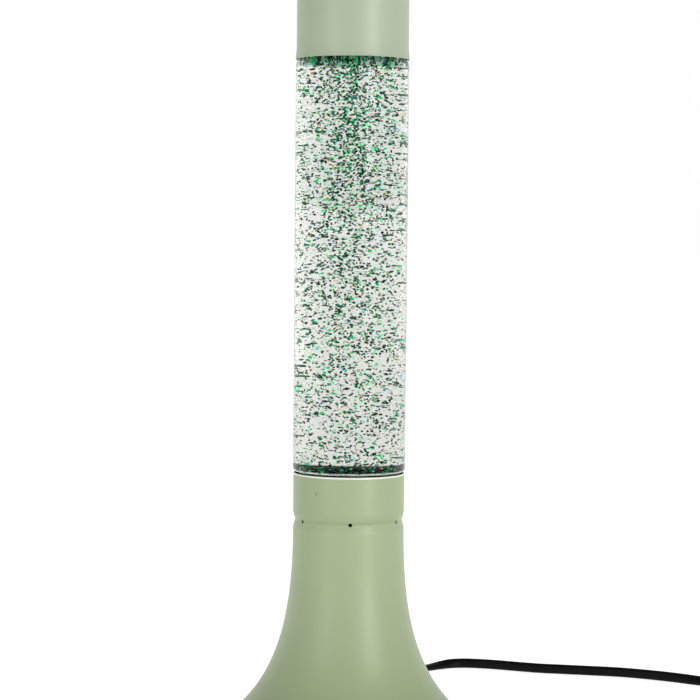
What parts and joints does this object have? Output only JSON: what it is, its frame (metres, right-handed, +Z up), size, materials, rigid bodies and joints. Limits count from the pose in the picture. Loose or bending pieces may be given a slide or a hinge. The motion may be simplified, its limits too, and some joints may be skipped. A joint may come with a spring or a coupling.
{
  "type": "glitter lamp",
  "caption": "Glitter lamp: a straight glass bottle of clear fluid in a flared sage metal base over a reflector bulb, with a lift-off cap, a flat lead, an in-line switch and a plug.",
  "frame": {"origin": "middle of the base on the surface that it stands on", "axes": "+Z up along the bottle, +Y towards the back where the lead leaves the base, -Y the front"},
  "size_m": [0.3917, 0.2435, 0.415],
  "materials": {
    "sage_base": "satin sage paint",
    "sage_cap": "satin sage paint, a little paler",
    "zinc_steel": "zinc plated",
    "rubber": "matt",
    "brass": "bright",
    "phenolic": "moulded black phenolic",
    "steatite": "unglazed steatite",
    "brown_pvc": "insulation",
    "blue_pvc": "insulation",
    "black_pvc": "soft PVC, faint sheen",
    "solder": "dull solder",
    "black_glass": "black insulating glass",
    "bulb_glass": "clear",
    "tungsten": "drawn wire",
    "bottle_glass": "clear with a slight green edge",
    "liquid": "clear fluid",
    "glitter": "metallised green flakes",
    "tinplate": "lacquered tinplate",
    "liner": "soft liner",
    "switch_plastic": "moulded, fine texture",
    "nickel": "nickel plated brass"
  },
  "bodies": {
    "base": {"base_shell": "sage_base", "base_plate": "zinc_steel", "plate_screws": "zinc_steel", "foot_1": "rubber", "foot_2": "rubber", "foot_3": "rubber", "foot_4": "rubber", "holder_bracket": "zinc_steel", "bracket_rivets": "zinc_steel", "holder_nipple": "brass", "nipple_nut": "zinc_steel", "lock_washer": "zinc_steel", "holder_cup": "phenolic", "contact_block": "steatite", "terminal_screws": "brass", "centre_contact": "brass", "thread_sleeve": "brass", "holder_sleeve": "phenolic", "brown_lead": "brown_pvc", "blue_lead": "blue_pvc", "cord_bushing": "black_pvc", "cord_inner": "black_pvc", "cord_clamp": "phenolic", "clamp_screws": "zinc_steel", "cord_to_switch": "black_pvc", "switch_lower": "switch_plastic", "switch_upper": "switch_plastic", "switch_contacts": "brass", "switch_screws": "zinc_steel", "cord_to_coil": "black_pvc", "cord_coil": "black_pvc", "coil_tie": "black_pvc", "cord_to_plug": "black_pvc", "plug_body": "black_pvc", "plug_sleeves": "switch_plastic", "plug_pins": "nickel"},
    "bulb_tip": {"bulb_contact": "solder"},
    "bulb": {"bulb_insulator": "black_glass", "bulb_cap": "brass", "bulb_glass": "bulb_glass", "bulb_stem": "bulb_glass", "bulb_filament": "tungsten"},
    "bottle": {"glass_bottle": "bottle_glass", "liquid_fill": "liquid", "glitter": "glitter", "crown_cap": "tinplate", "crown_liner": "liner"},
    "cap": {"cap_shell": "sage_cap"},
    "rocker": {"switch_rocker": "switch_plastic"}
  },
  "joints": [
    {"name": "bottle_lift", "type": "slide", "parent": "base", "child": "bottle", "axis": [0, 0, 1], "range_m": [0, 0.045]},
    {"name": "cap_lift", "type": "slide", "parent": "bottle", "child": "cap", "axis": [0, 0, 1], "range_m": [0, 0.05]},
    {"name": "bulb_rise", "type": "slide", "parent": "base", "child": "bulb_tip", "axis": [0, 0, 1], "range_m": [0, 0.0086]},
    {"name": "bulb_turn", "type": "hinge", "parent": "bulb_tip", "child": "bulb", "pos_m": [0, 0, 0.04], "axis": [0, 0, 1], "range_deg": [0, 1080]},
    {"name": "switch_rock", "type": "hinge", "parent": "base", "child": "rocker", "pos_m": [0.2605, 0.0795, 0.0105], "axis": [-0.7071, -0.7071, 0], "range_deg": [0, 16]}
  ],
  "couplings": [
    {"joint": "bulb_rise", "follows": "bulb_turn", "m_per_rad": 0.00044882}
  ]
}
